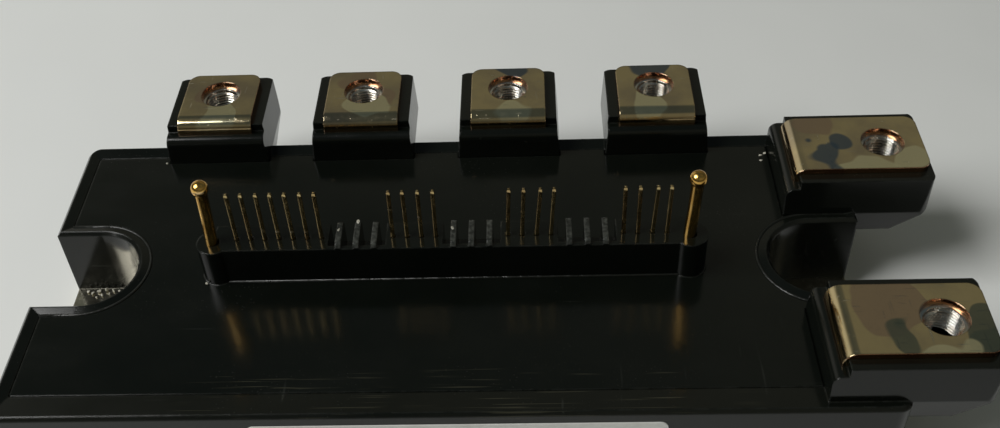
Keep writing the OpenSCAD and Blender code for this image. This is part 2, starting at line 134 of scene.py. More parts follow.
# A plated or bare metal skin: stains, wiped streaks, fine scratches and soft dents
metal_skin, start, end = shader_group(
    "metal_skin",
    [
        ("Clean", "NodeSocketColor", (0.6, 0.6, 0.6, 1)),
        ("Stained", "NodeSocketColor", (0.4, 0.4, 0.4, 1)),
        ("Stain Scale", "NodeSocketFloat", 150.0),
        ("Scratch Scale", "NodeSocketFloat", 600.0),
        ("Polished", "NodeSocketFloat", 0.15),
        ("Dull", "NodeSocketFloat", 0.35),
    ],
    [("Color", "NodeSocketColor"), ("Roughness", "NodeSocketFloat"), ("Height", "NodeSocketFloat")],
)
place = metal_skin.nodes.new("ShaderNodeTexCoord").outputs["Object"]
stain = remap(metal_skin, noise(metal_skin, place, start.outputs["Stain Scale"], 4, 0.55), 0.4, 0.66)
fineness = start.outputs["Scratch Scale"]
streaks = noise(metal_skin, stretched(metal_skin, place, (0.12, 1, 1), 0.5), fineness, 2)
crossing = noise(metal_skin, stretched(metal_skin, place, (1, 0.08, 1), 0.3), fineness, 2)
lines = sums(metal_skin, "MAXIMUM", remap(metal_skin, streaks, 0.66, 0.72),
             remap(metal_skin, crossing, 0.68, 0.73))
colour = blend(metal_skin, stain, start.outputs["Clean"], start.outputs["Stained"])
colour = blend(metal_skin, sums(metal_skin, "MULTIPLY", lines, 0.25), colour, (0.85, 0.83, 0.78, 1))
metal_skin.links.new(colour, end.inputs["Color"])
haze = noise(metal_skin, place, 900, 5, 0.6)
polish = remap(metal_skin, haze, 0.35, 0.7, start.outputs["Polished"], start.outputs["Dull"])
shine = sums(metal_skin, "ADD", polish, sums(metal_skin, "MULTIPLY", lines, 0.15))
metal_skin.links.new(shine, end.inputs["Roughness"])
dents = sums(metal_skin, "ADD", noise(metal_skin, place, 160, 1), sums(metal_skin, "MULTIPLY", lines, -0.12))
metal_skin.links.new(dents, end.inputs["Height"])


def plain_material(name, metallic=0.0):
    material = bpy.data.materials.new(name)
    material.use_nodes = True
    tree = material.node_tree
    shader = tree.nodes["Principled BSDF"]
    shader.inputs["Metallic"].default_value = metallic
    return material, tree, shader


def insert(tree, group, **values):
    node = tree.nodes.new("ShaderNodeGroup")
    node.node_tree = group
    for label, value in values.items():
        feed(tree, value, node.inputs[label.replace("_", " ")])
    return node


def raise_surface(tree, shader, height, depth, normal=None):
    bump = tree.nodes.new("ShaderNodeBump")
    bump.inputs["Distance"].default_value = depth
    tree.links.new(height, bump.inputs["Height"])
    if normal is not None:
        tree.links.new(normal, bump.inputs["Normal"])
    tree.links.new(bump.outputs["Normal"], shader.inputs["Normal"])


def metal_material(name, rounding, dent_depth, worn, **skin_values):
    material, tree, shader = plain_material(name, 1.0)
    skin = insert(tree, metal_skin, **skin_values)
    edge_band = insert(tree, rounded_edges, Round=rounding)
    colour = blend(tree, sums(tree, "MULTIPLY", edge_band.outputs["Mask"], 0.6), skin.outputs["Color"], worn)
    tree.links.new(colour, shader.inputs["Base Color"])
    tree.links.new(skin.outputs["Roughness"], shader.inputs["Roughness"])
    raise_surface(tree, shader, skin.outputs["Height"], dent_depth, edge_band.outputs["Normal"])
    return material


def dress(node, material):
    for piece_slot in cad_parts[node].material_slots:
        piece_slot.material = material


base_nickel = metal_material(
    "base_nickel", PLATE_EDGE_ROUND, 0.00002, (0.70, 0.45, 0.30, 1),
    Clean=NICKEL_WARM, Stained=NICKEL_STAIN, Stain_Scale=90.0, Scratch_Scale=420.0, Polished=0.16, Dull=0.3)
dress("base_plate", base_nickel)


# ---- Tiles and their solder
# White ceramic, fired and ground flat. Each tile is soldered to the base plate over its whole
# underside, in a furnace, before anything is put on it.

tile_white, tree, shader = plain_material("tile_white")
place = tree.nodes.new("ShaderNodeTexCoord").outputs["Object"]
speckle = remap(tree, noise(tree, place, 2600, 4, 0.7), 0.4, 0.7)
fired = blend(tree, speckle, (0.80, 0.79, 0.74, 1), (0.66, 0.65, 0.60, 1))
tree.links.new(fired, shader.inputs["Base Color"])
tree.links.new(remap(tree, speckle, 0, 1, 0.42, 0.58), shader.inputs["Roughness"])
raise_surface(tree, shader, speckle, 0.000004)
for side in ("left", "right"):
    dress("ceramic_" + side, tile_white)

solder_grey = metal_material(
    "solder_grey", 0.0001, 0.00003, (0.6, 0.6, 0.6, 1),
    Clean=(0.52, 0.52, 0.53, 1), Stained=(0.33, 0.33, 0.34, 1), Stain_Scale=700.0, Polished=0.3, Dull=0.5)
for side in ("left", "right"):
    dress("solder_" + side, solder_grey)


# ---- Copper tracks
# Copper foil bonded to the ceramic and etched into tracks, a shade darker where the furnace's
# heat has tinted it.

track_copper = metal_material(
    "track_copper", 0.00008, 0.00001, (0.90, 0.62, 0.47, 1),
    Clean=(0.80, 0.42, 0.27, 1), Stained=(0.52, 0.22, 0.15, 1), Stain_Scale=260.0, Polished=0.25, Dull=0.45)
for side in ("left", "right"):
    dress("copper_tracks_" + side, track_copper)


# ---- Chips
# Silicon, sawn from a wafer and soldered down. The top carries a matt aluminium layer for the
# bond wires, and the sawn sides stay dark.

CHIP_METAL = (0.62, 0.62, 0.60, 1)
CHIP_SIDE = (0.05, 0.055, 0.07, 1)


def chip_material(name, cell_pitch, tint):
    material, tree, shader = plain_material(name)
    facing = tree.nodes.new("ShaderNodeSeparateXYZ")
    tree.links.new(tree.nodes.new("ShaderNodeNewGeometry").outputs["Normal"], facing.inputs["Vector"])
    top = remap(tree, facing.outputs["Z"], 0.7, 0.9)
    place = tree.nodes.new("ShaderNodeTexCoord").outputs["Object"]
    cells = tree.nodes.new("ShaderNodeTexBrick")
    cells.inputs["Scale"].default_value = 1 / cell_pitch
    cells.inputs["Mortar Size"].default_value = 0.02
    cells.inputs["Color1"].default_value = CHIP_METAL
    cells.inputs["Color2"].default_value = tint
    cells.inputs["Mortar"].default_value = (0.25, 0.25, 0.27, 1)
    tree.links.new(place, cells.inputs["Vector"])
    tree.links.new(blend(tree, top, CHIP_SIDE, cells.outputs["Color"]), shader.inputs["Base Color"])
    tree.links.new(sums(tree, "MULTIPLY", top, 0.9), shader.inputs["Metallic"])
    tree.links.new(remap(tree, noise(tree, place, 3000), 0.3, 0.7, 0.28, 0.5), shader.inputs["Roughness"])
    return material


dress("transistor_chips", chip_material("transistor_silicon", 0.0009, (0.55, 0.56, 0.58, 1)))
dress("diode_chips", chip_material("diode_silicon", 0.003, (0.58, 0.56, 0.52, 1)))


# ---- Wires
# Aluminium wire, pressed flat at each foot by the ultrasonic bonding tool. Pairs run from chip
# to chip, and sets of three from the terminal pads to the tracks.

wire_aluminium = metal_material(
    "wire_aluminium", 0.00008, 0.000008, (0.9, 0.9, 0.9, 1),
    Clean=(0.82, 0.82, 0.83, 1), Stained=(0.66, 0.66, 0.68, 1), Stain_Scale=900.0, Polished=0.2, Dull=0.34)
dress("bond_wires", wire_aluminium)
dress("terminal_wires", wire_aluminium)


# ---- Control board and what stands on it
# Glass-fibre board under green resist, with the tracks showing through as paler lines. The
# driver chips are black moulded packages, and the posts bring the gate signals up.

board_green, tree, shader = plain_material("board_green")
place = tree.nodes.new("ShaderNodeTexCoord").outputs["Object"]
lanes = tree.nodes.new("ShaderNodeTexBrick")
lanes.inputs["Scale"].default_value = 300
lanes.inputs["Mortar Size"].default_value = 0.035
lanes.inputs["Color1"].default_value = (0.010, 0.085, 0.035, 1)
lanes.inputs["Color2"].default_value = (0.014, 0.100, 0.042, 1)
lanes.inputs["Mortar"].default_value = (0.035, 0.19, 0.08, 1)
tree.links.new(place, lanes.inputs["Vector"])
weave = noise(tree, stretched(tree, place, (1, 1, 0.2)), 4000, 2)
resist = blend(tree, remap(tree, weave, 0.3, 0.8, 0, 0.35), lanes.outputs["Color"], (0.03, 0.13, 0.06, 1))
tree.links.new(resist, shader.inputs["Base Color"])
tree.links.new(remap(tree, weave, 0.3, 0.7, 0.25, 0.4), shader.inputs["Roughness"])
raise_surface(tree, shader, lanes.outputs["Fac"], 0.00002)
dress("control_board", board_green)

package_black, tree, shader = plain_material("package_black")
place = tree.nodes.new("ShaderNodeTexCoord").outputs["Object"]
grit = noise(tree, place, 7000, 4, 0.7)
moulding = blend(tree, grit, (0.012, 0.012, 0.012, 1), (0.032, 0.032, 0.034, 1))
tree.links.new(moulding, shader.inputs["Base Color"])
tree.links.new(remap(tree, grit, 0.3, 0.7, 0.5, 0.7), shader.inputs["Roughness"])
raise_surface(tree, shader, grit, 0.00001)
dress("driver_chips", package_black)

post_tin = metal_material(
    "post_tin", 0.00008, 0.000006, (0.8, 0.8, 0.8, 1),
    Clean=(0.72, 0.71, 0.68, 1), Stained=(0.55, 0.53, 0.48, 1), Stain_Scale=800.0, Polished=0.2, Dull=0.36)
dress("gate_posts", post_tin)


# ---- Case and cover
# Black glass-filled plastic from a polished mould. The frame is moulded round the terminals,
# and the cover, in one with the pin strip, is glued down inside its sloping rim.

PLASTIC_DEEP = (0.0026, 0.0036, 0.0026, 1)
PLASTIC_PALE = (0.0050, 0.0060, 0.0046, 1)
PLASTIC_RUBBED_AND_SHEEN = (0.040, 0.043, 0.038, 1)
RIB_TOP_PALE = (0.090, 0.094, 0.084, 1)
HAIRLINE = (0.034, 0.033, 0.022, 1)
DUST = (0.11, 0.105, 0.09, 1)
STRIP_TOP = 0.021

# Handling marks: where dust lies, where fingers have been, and the fine scratches
handling, start, end = shader_group(
    "handling",
    [("Dust Scale", "NodeSocketFloat", 1500.0), ("Smudge Scale", "NodeSocketFloat", 60.0)],
    [("Dust", "NodeSocketFloat"), ("Smudge", "NodeSocketFloat"), ("Scratch", "NodeSocketFloat")],
)
place = handling.nodes.new("ShaderNodeTexCoord").outputs["Object"]
upward = handling.nodes.new("ShaderNodeSeparateXYZ")
handling.links.new(handling.nodes.new("ShaderNodeNewGeometry").outputs["Normal"], upward.inputs["Vector"])
specks = handling.nodes.new("ShaderNodeTexVoronoi")
handling.links.new(place, specks.inputs["Vector"])
handling.links.new(start.outputs["Dust Scale"], specks.inputs["Scale"])
grains = remap(handling, specks.outputs["Distance"], 0.16, 0.05)
drift = remap(handling, noise(handling, place, 55, 3), 0.45, 0.75)
lying = sums(handling, "MULTIPLY", sums(handling, "MULTIPLY", grains, drift),
             remap(handling, upward.outputs["Z"], 0.3, 0.9))
handling.links.new(lying, end.inputs["Dust"])
smears = noise(handling, stretched(handling, place, (1, 2.2, 1), 0.4), start.outputs["Smudge Scale"], 5, 0.6)
handling.links.new(remap(handling, smears, 0.42, 0.7), end.inputs["Smudge"])
long_marks = noise(handling, stretched(handling, place, (0.035, 1, 1), 0.03), 1500, 1)
short_marks = noise(handling, stretched(handling, place, (0.9, 0.06, 1), 0.35), 1100, 1)
where = remap(handling, noise(handling, place, 45, 2), 0.5, 0.66)
marks = sums(handling, "MAXIMUM", remap(handling, long_marks, 0.72, 0.78),
             remap(handling, short_marks, 0.74, 0.79))
handling.links.new(sums(handling, "MULTIPLY", marks, where), end.inputs["Scratch"])

case_black, tree, shader = plain_material("case_black")
shader.inputs["Specular IOR Level"].default_value = 0.38
use = insert(tree, handling)
edge_band = insert(tree, rounded_edges, Round=0.00035, Patch_Scale=700.0)
place = tree.nodes.new("ShaderNodeTexCoord").outputs["Object"]
clouds = remap(tree, noise(tree, place, 38, 4, 0.6), 0.35, 0.7)
colour = blend(tree, clouds, PLASTIC_DEEP, PLASTIC_PALE)
# Painted sheen and wear: the rounded edges are painted paler, partly rubbed and partly a painted sheen where
# they catch the light
colour = blend(tree, sums(tree, "MULTIPLY", edge_band.outputs["Mask"], 0.5), colour, PLASTIC_RUBBED_AND_SHEEN)
colour = blend(tree, sums(tree, "MULTIPLY", use.outputs["Scratch"], 0.35), colour, PLASTIC_RUBBED_AND_SHEEN)
colour = blend(tree, sums(tree, "MULTIPLY", use.outputs["Dust"], 0.12), colour, DUST)

# The tops of the ribs, above the strip, and only those, are painted paler in patches
where = tree.nodes.new("ShaderNodeSeparateXYZ")
tree.links.new(place, where.inputs["Vector"])
along_strip = sums(tree, "MULTIPLY", remap(tree, where.outputs["Y"], 0.004, 0.003),
                   remap(tree, where.outputs["Y"], -0.005, -0.004))
on_ribs = sums(tree, "MULTIPLY", remap(tree, where.outputs["Z"], STRIP_TOP, STRIP_TOP + 0.0003), along_strip)
rib_top_patches = remap(tree, noise(tree, place, 1600, 4, 0.7), 0.42, 0.68, 0.15, 0.8)
colour = blend(tree, sums(tree, "MULTIPLY", on_ribs, rib_top_patches), colour, RIB_TOP_PALE)

# Long hairlines where the cover slides over a bench, along its front edge
hairlines = remap(tree, noise(tree, stretched(tree, place, (0.025, 1, 1)), 2600, 2), 0.60, 0.68)
near_front = sums(tree, "MULTIPLY", remap(tree, where.outputs["Y"], -0.0185, -0.0200),
                  remap(tree, where.outputs["X"], 0.042, 0.034))
near_front = sums(tree, "MULTIPLY", near_front, remap(tree, noise(tree, place, 60, 2), 0.45, 0.6))
colour = blend(tree, sums(tree, "MULTIPLY", hairlines, near_front), colour, HAIRLINE)
tree.links.new(colour, shader.inputs["Base Color"])
gloss = remap(tree, use.outputs["Smudge"], 0, 1, 0.13, 0.24)
gloss = sums(tree, "ADD", gloss, sums(tree, "MULTIPLY", use.outputs["Dust"], 0.4))
tree.links.new(gloss, shader.inputs["Roughness"])
swell = noise(tree, place, 42, 2)
texture = sums(tree, "MULTIPLY", noise(tree, place, 2400, 3), 0.012)
grooves = sums(tree, "MULTIPLY", use.outputs["Scratch"], -0.02)
relief = sums(tree, "ADD", sums(tree, "ADD", swell, texture), grooves)
raise_surface(tree, shader, relief, 0.00012, edge_band.outputs["Normal"])
dress("case_frame", case_black)
dress("top_cover", case_black)


# ---- Sealant beads
# A thin line of black silicone squeezed out where the cover was pushed down on its glue: round
# the foot of the strip and along the rings of the notches. It dries smooth and shiny.

COVER_TOP = 0.01478
BOSS_X = (-0.03285, 0.03365)
BOSS_Y = -0.0011
BOSS_RADIUS = 0.0024
STRIP_FRONT = -0.0029
STRIP_BACK = 0.0021
NOTCH_X = 0.0524
RING_RADIUS = 0.0088
RING_END_X = 0.0572
BEAD_RADIUS = 0.00022


def start_from(name):
    piece = bpy.context.object
    piece.name = name
    piece.data.name = name
    return piece


def bead(name, points, thickness, closed):
    """A soft line of sealant along the points, as a curve with a round section made a mesh."""
    curve = bpy.data.curves.new(name, "CURVE")
    curve.dimensions = "3D"
    curve.bevel_depth = thickness
    curve.bevel_resolution = 2
    curve.use_fill_caps = True
    line = curve.splines.new("POLY")
    line.points.add(len(points) - 1)
    for point, (x, y) in zip(line.points, points):
        point.co = (x, y, COVER_TOP, 1)
    line.use_cyclic_u = closed
    piece = bpy.data.objects.new(name, curve)
    bpy.context.scene.collection.objects.link(piece)
    bpy.ops.object.select_all(action="DESELECT")
    piece.select_set(True)
    bpy.context.view_layer.objects.active = piece
    bpy.ops.object.convert(target="MESH")
    start_from(name)
    bpy.ops.object.mode_set(mode="EDIT")
    bpy.ops.mesh.select_all(action="SELECT")
    bpy.ops.mesh.remove_doubles(threshold=0.000001)
    bpy.ops.mesh.normals_make_consistent(inside=False)
    bpy.ops.object.mode_set(mode="OBJECT")
    bpy.ops.object.shade_smooth()
    return bpy.context.object


def arc(x, y, radius, first, last, steps):
    """Points on an arc about x, y from one angle to another, in degrees."""
    turns = [math.radians(first + (last - first) * step / steps) for step in range(steps + 1)]
    return [(x + radius * math.cos(turn), y + radius * math.sin(turn)) for turn in turns]


def join(pieces, name):
    bpy.ops.object.select_all(action="DESELECT")
    for piece in pieces:
        piece.select_set(True)
    bpy.context.view_layer.objects.active = pieces[0]
    bpy.ops.object.join()
    return start_from(name)


# Round each end boss from where it meets the strip's front, and straight along the back
meets = math.degrees(math.asin((BOSS_Y - STRIP_FRONT) / BOSS_RADIUS))
strip_foot = arc(BOSS_X[1], BOSS_Y, BOSS_RADIUS, -meets, 90, 14)
strip_foot += [(BOSS_X[1], STRIP_BACK), (BOSS_X[0], STRIP_BACK)]
strip_foot += arc(BOSS_X[0], BOSS_Y, BOSS_RADIUS, 90, 180 + meets, 14)
beads = [bead("bead_strip", strip_foot, BEAD_RADIUS, True)]
for side, first, last in ((-1, 90, -90), (1, 90, 270)):
    ring = [(side * RING_END_X, RING_RADIUS)]
    ring += arc(side * NOTCH_X, 0, RING_RADIUS, first, last, 28)
    ring += [(side * RING_END_X, -RING_RADIUS)]
    beads.append(bead("bead_ring", ring, BEAD_RADIUS, False))

sealant_black, tree, shader = plain_material("sealant_black")
place = tree.nodes.new("ShaderNodeTexCoord").outputs["Object"]
lumps = noise(tree, place, 700, 2)
silicone = blend(tree, lumps, (0.004, 0.005, 0.004, 1), (0.010, 0.011, 0.009, 1))
tree.links.new(silicone, shader.inputs["Base Color"])
tree.links.new(remap(tree, lumps, 0.3, 0.7, 0.24, 0.42), shader.inputs["Roughness"])
raise_surface(tree, shader, lumps, 0.00025)
sealant = join(beads, "sealant_beads")
sealant.data.materials.append(sealant_black)
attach(sealant, "root")


# ---- Screw terminals
# Copper strip, punched, bent over the block and nickel plated. The case is moulded round the
# legs, so only the flat tops with their screw holes and the bends stand clear.

COPPER_CUT = (0.60, 0.24, 0.11, 1)
BEND_REFLECTION = (0.62, 0.42, 0.20, 1)
FOOT_SHADE = (0.45, 0.18, 0.12, 1)
COPPER_WORN = (0.78, 0.50, 0.36, 1)
PLATE_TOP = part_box("phase_terminal_1")[1].z

# Painted reflections: patches of the room's light and dark painted on the plating, as the dished plates
# mirror it: place and reach in millimetres, and the tint
COOL_REFLECTION = (0.10, 0.15, 0.22, 1)
DARK_REFLECTION = (0.17, 0.20, 0.17, 1)
PALE_REFLECTION = (0.88, 0.82, 0.56, 1)
ROSE_REFLECTION = (0.50, 0.37, 0.27, 1)
PAINTED_REFLECTIONS = (
    (60.5, 11.6, 4.0, PALE_REFLECTION), (67.2, 12.6, 3.4, PALE_REFLECTION), (54.4, 20.4, 3.8, ROSE_REFLECTION),
    (54.9, 15.2, 3.5, COOL_REFLECTION), (57.4, 16.6, 3.1, COOL_REFLECTION), (52.9, 17.2, 2.8, COOL_REFLECTION),
    (57.6, -15.0, 5.2, ROSE_REFLECTION), (58.4, -21.0, 1.7, DARK_REFLECTION), (59.8, -20.2, 1.4, DARK_REFLECTION),
    (69.2, -19.0, 2.8, DARK_REFLECTION), (68.4, -22.0, 1.7, DARK_REFLECTION), (62.5, -23.6, 2.6, PALE_REFLECTION),
    (8.9, 35.9, 2.2, COOL_REFLECTION), (11.0, 29.2, 1.3, COOL_REFLECTION), (31.2, 36.4, 2.6, COOL_REFLECTION),
    (-14.6, 34.8, 3.2, ROSE_REFLECTION), (-12.0, 31.0, 1.8, ROSE_REFLECTION), (-39.5, 31.5, 2.4, ROSE_REFLECTION),
    (-37.6, 27.6, 2.6, PALE_REFLECTION), (-14.6, 27.6, 2.6, PALE_REFLECTION), (8.6, 27.6, 2.6, PALE_REFLECTION),
    (31.4, 27.4, 2.6, PALE_REFLECTION),
)

terminal_nickel, tree, shader = plain_material("terminal_nickel", 1.0)
skin = insert(tree, metal_skin, Clean=(0.68, 0.56, 0.33, 1), Stained=(0.48, 0.40, 0.28, 1),
              Stain_Scale=110.0, Scratch_Scale=2200.0, Polished=0.07, Dull=0.16)
edge_band = insert(tree, rounded_edges, Round=0.00025, Patch_Scale=300.0)
place = tree.nodes.new("ShaderNodeTexCoord").outputs["Object"]
height = tree.nodes.new("ShaderNodeSeparateXYZ")
tree.links.new(place, height.inputs["Vector"])
colour = skin.outputs["Color"]
warp = noise(tree, place, 150, 1)
# Paint each reflection patch on, with a wavering edge
for x, y, reach, tint in PAINTED_REFLECTIONS:
    gap = tree.nodes.new("ShaderNodeVectorMath")
    gap.operation = "DISTANCE"
    tree.links.new(place, gap.inputs[0])
    gap.inputs[1].default_value = (x / 1000, y / 1000, PLATE_TOP)
    edge_at = sums(tree, "ADD", gap.outputs["Value"], remap(tree, warp, 0.3, 0.7, -0.0022, 0.0022))
    patch = remap(tree, edge_at, reach / 1000, (reach - 0.4) / 1000)
    colour = blend(tree, sums(tree, "MULTIPLY", patch, 0.85), colour, tint)
upward = tree.nodes.new("ShaderNodeSeparateXYZ")
tree.links.new(tree.nodes.new("ShaderNodeNewGeometry").outputs["Normal"], upward.inputs["Vector"])
on_side = remap(tree, upward.outputs["Z"], 0.12, 0.03)
cut = sums(tree, "MULTIPLY", on_side, remap(tree, height.outputs["Z"], 0.0207, 0.0209))
colour = blend(tree, sums(tree, "MULTIPLY", cut, 0.85), colour, COPPER_CUT)
# Painted reflection: the bends are painted golden, the colour of the room they mirror
low = remap(tree, height.outputs["Z"], 0.0214, 0.0200)
colour = blend(tree, sums(tree, "MULTIPLY", low, 0.75), colour, BEND_REFLECTION)
# Painted shade: where the plate drops into its slot behind the lip it is painted a deep copper red
foot = remap(tree, height.outputs["Z"], 0.0200, 0.0194)
colour = blend(tree, sums(tree, "MULTIPLY", foot, 0.6), colour, FOOT_SHADE)
colour = blend(tree, sums(tree, "MULTIPLY", edge_band.outputs["Mask"], 0.5), colour, COPPER_WORN)
tree.links.new(colour, shader.inputs["Base Color"])
tree.links.new(skin.outputs["Roughness"], shader.inputs["Roughness"])
raise_surface(tree, shader, skin.outputs["Height"], 0.00005, edge_band.outputs["Normal"])
for count in range(1, 5):
    dress("phase_terminal_%d" % count, terminal_nickel)
for side in ("back", "front"):
    dress("supply_terminal_" + side, terminal_nickel)


# ---- Terminal nuts
# Steel hexagon nuts, zinc plated, dropped into pockets under the plates. The thread is a
# triangular ridge wound up the bore; a countersink leads the screw in.

THREAD_PITCH = 0.0005
THREAD_CREST = 0.00218
THREAD_ROOT = 0.0025
nut_low, nut_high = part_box("terminal_nuts")
nut_height = nut_high.z - nut_low.z
NUT_FLATS = 0.008
nut_corner = NUT_FLATS / math.sqrt(3)


def pick(test, kind="faces"):
    """Select in edit mode the faces, edges or corners whose middle passes the test."""
    bpy.ops.object.mode_set(mode="OBJECT")
    mesh = bpy.context.object.data
    for group in (mesh.vertices, mesh.edges, mesh.polygons):
        for item in group:
            item.select = False
    corners = mesh.vertices
    if kind == "faces":
        for face in mesh.polygons:
            face.select = test(face.center, face.normal)
    if kind == "edges":
        for line in mesh.edges:
            a, b = (corners[i].co for i in line.vertices)
            line.select = test((a + b) / 2, b - a)
    if kind == "corners":
        for corner in corners:
            corner.select = test(corner.co, corner.normal)
    bpy.ops.object.mode_set(mode="EDIT")
    bpy.ops.mesh.select_mode(type={"faces": "FACE", "edges": "EDGE", "corners": "VERT"}[kind])


def settle(piece):
    """Leave the piece's place in its mesh, and its object at the origin."""
    bpy.ops.object.mode_set(mode="OBJECT")
    bpy.ops.object.select_all(action="DESELECT")
    piece.select_set(True)
    bpy.context.view_layer.objects.active = piece
    bpy.ops.object.transform_apply(location=True, rotation=True, scale=True)


def copy_to(piece, offset):
    twin = piece.copy()
    twin.data = piece.data.copy()
    bpy.context.scene.collection.objects.link(twin)
    twin.location = offset
    return twin


bpy.ops.object.select_all(action="DESELECT")
bpy.ops.mesh.primitive_cylinder_add(vertices=6, radius=nut_corner, depth=nut_height)
nut = start_from("nut")
bpy.ops.mesh.primitive_cylinder_add(vertices=40, radius=THREAD_ROOT, depth=nut_height * 2)
drill = start_from("drill")
bore = nut.modifiers.new("bore", "BOOLEAN")
bore.object = drill
bore.solver = "EXACT"
bpy.context.view_layer.objects.active = nut
bpy.ops.object.modifier_apply(modifier="bore")
bpy.data.objects.remove(drill)
settle(nut)
pick(lambda middle, along: middle.xy.length < THREAD_ROOT * 1.02 and abs(along.z) < 1e-6, "edges")
bpy.ops.mesh.bevel(offset=0.0003, segments=2)
pick(lambda middle, along: middle.xy.length > 0.0037 and abs(along.z) < 1e-6, "edges")
bpy.ops.mesh.bevel(offset=0.00025, segments=2)
bpy.ops.object.mode_set(mode="OBJECT")

# The thread: a triangle standing on the bore's wall, turned to point inwards and wound upwards
ridge_foot = (THREAD_ROOT - 0.0001, 0, -nut_height / 2 + 0.0001)
bpy.ops.object.select_all(action="DESELECT")
bpy.ops.mesh.primitive_circle_add(
    vertices=3, radius=THREAD_PITCH * 0.5, location=ridge_foot, rotation=(math.pi / 2, 0, 0),
    fill_type="NGON")
ridge = start_from("thread")
settle(ridge)
bpy.ops.object.mode_set(mode="EDIT")
bpy.ops.mesh.select_all(action="SELECT")
bpy.ops.transform.rotate(value=math.radians(90), orient_axis="Y", center_override=ridge_foot)
bpy.ops.object.mode_set(mode="OBJECT")
inmost = min(corner.co.x for corner in ridge.data.vertices)
bpy.ops.object.mode_set(mode="EDIT")
bpy.ops.transform.translate(value=(THREAD_CREST - inmost, 0, 0))
bpy.ops.object.mode_set(mode="OBJECT")
wind = ridge.modifiers.new("wind", "SCREW")
wind.axis = "Z"
wind.screw_offset = THREAD_PITCH
wind.iterations = 7
wind.steps = 28
wind.render_steps = 28
wind.use_normal_calculate = True
bpy.ops.object.modifier_apply(modifier="wind")
bpy.ops.object.mode_set(mode="EDIT")
bpy.ops.mesh.select_all(action="SELECT")
bpy.ops.mesh.remove_doubles(threshold=0.00001)
bpy.ops.mesh.fill_holes(sides=4)
bpy.ops.mesh.normals_make_consistent(inside=False)
bpy.ops.object.mode_set(mode="OBJECT")
nut = join([nut, ridge], "nut")
bpy.ops.object.shade_smooth_by_angle(angle=math.radians(35))

nut_steel = metal_material(
    "nut_steel", 0.0001, 0.00001, (0.86, 0.84, 0.78, 1),
    Clean=(0.70, 0.70, 0.66, 1), Stained=(0.50, 0.44, 0.36, 1), Stain_Scale=380.0, Polished=0.14, Dull=0.28)
nut_places = []
for count in range(1, 5):
    low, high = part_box("phase_terminal_%d" % count)
    nut_places.append(((low.x + high.x) / 2, nut_high.y - nut_corner))
for side in ("back", "front"):
    low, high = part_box("supply_terminal_" + side)
    nut_places.append((nut_high.x - nut_corner, (low.y + high.y) / 2))
nuts = [copy_to(nut, (x, y, (nut_low.z + nut_high.z) / 2)) for x, y in nut_places]
# The two supply nuts lie a quarter turn round from the others
for turned_nut in nuts[4:]:
    turned_nut.rotation_euler = (0, 0, math.radians(90))
bpy.data.objects.remove(nut)
threaded = join(nuts, "threaded_nuts")
settle(threaded)
threaded.data.materials.clear()
threaded.data.materials.append(nut_steel)
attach(threaded, "root")
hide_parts("terminal_nuts")


# ---- Control pins
# Square gold-plated bronze wire with swaged points, a little over half a millimetre across.
# They are pushed up through the board and the strip, and handling has bent a few a little.

PIN_LEANS = {
    "control_pins_1": (0.0, 0.0, 0.05, 0.0, -0.04, 0.05, 0.0),
    "control_pins_2": (0.1, 0.0, 0.05, 0.1),
    "control_pins_3": (0.35, 0.35, 0.6, 0.45),
    "control_pins_4": (0.0, 0.0, 0.35, 0.15),
}
PIN_SIDE = 0.00054
PIN_STEP = 0.002
PIN_INSET = 0.0003
SWAGED = 0.0006
PIN_RINGS = (0.30, 0.55, 0.80, 1.0)

pin_low, pin_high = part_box("control_pins_1")
pin_gold = metal_material(
    "pin_gold", 0.00008, 0.000006, (0.95, 0.86, 0.62, 1),
    Clean=(0.60, 0.46, 0.22, 1), Stained=(0.48, 0.32, 0.14, 1), Stain_Scale=220.0, Polished=0.16, Dull=0.3)


def straight_pin(foot, point):
    """A pin at the origin's axis from foot to point, with a ring of corners at each bend."""
    bpy.ops.object.select_all(action="DESELECT")
    shank = STRIP_TOP - foot
    bpy.ops.mesh.primitive_cube_add(size=1, location=(0, 0, foot + SWAGED + (shank - SWAGED) / 2))
    pin = start_from("pin")
    pin.scale = (PIN_SIDE, PIN_SIDE, shank - SWAGED)
    settle(pin)
    pick(lambda middle, normal: normal.z > 0.9)
    reached = 0.0
    free = point - SWAGED - STRIP_TOP
    for share in PIN_RINGS:
        bpy.ops.mesh.extrude_region_move(TRANSFORM_OT_translate={"value": (0, 0, (share - reached) * free)})
        reached = share
    bpy.ops.mesh.extrude_region_move(TRANSFORM_OT_translate={"value": (0, 0, 0.0004)})
    bpy.ops.transform.resize(value=(0.82, 0.82, 1), center_override=(0, 0, point))
    bpy.ops.mesh.extrude_region_move(TRANSFORM_OT_translate={"value": (0, 0, 0.0002)})
    bpy.ops.transform.resize(value=(0.5, 0.5, 1), center_override=(0, 0, point))
    pick(lambda middle, normal: normal.z < -0.9)
    bpy.ops.mesh.extrude_region_move(TRANSFORM_OT_translate={"value": (0, 0, -SWAGED)})
    bpy.ops.transform.resize(value=(0.4, 0.4, 1), center_override=(0, 0, foot))
    pick(lambda middle, along: abs(along.z) > 0.0003 and along.xy.length < 1e-6, "edges")
    bpy.ops.mesh.bevel(offset=0.00007, segments=1)
    bpy.ops.object.mode_set(mode="OBJECT")
    bpy.ops.object.shade_smooth_by_angle(angle=math.radians(50))
    return pin


def lean(pin, sideways):
    """Push the free length over, ring by ring, so that it curves from the strip upwards."""
    free = pin_high.z - SWAGED - STRIP_TOP
    bpy.ops.object.select_all(action="DESELECT")
    bpy.context.view_layer.objects.active = pin
    reached = 0.0
    for share in PIN_RINGS:
        level = STRIP_TOP + (share * free) - 0.0001
        pick(lambda place, normal: place.z > level, "corners")
        bpy.ops.transform.translate(value=(sideways * (share - reached), 0, 0))
        reached = share
    bpy.ops.object.mode_set(mode="OBJECT")


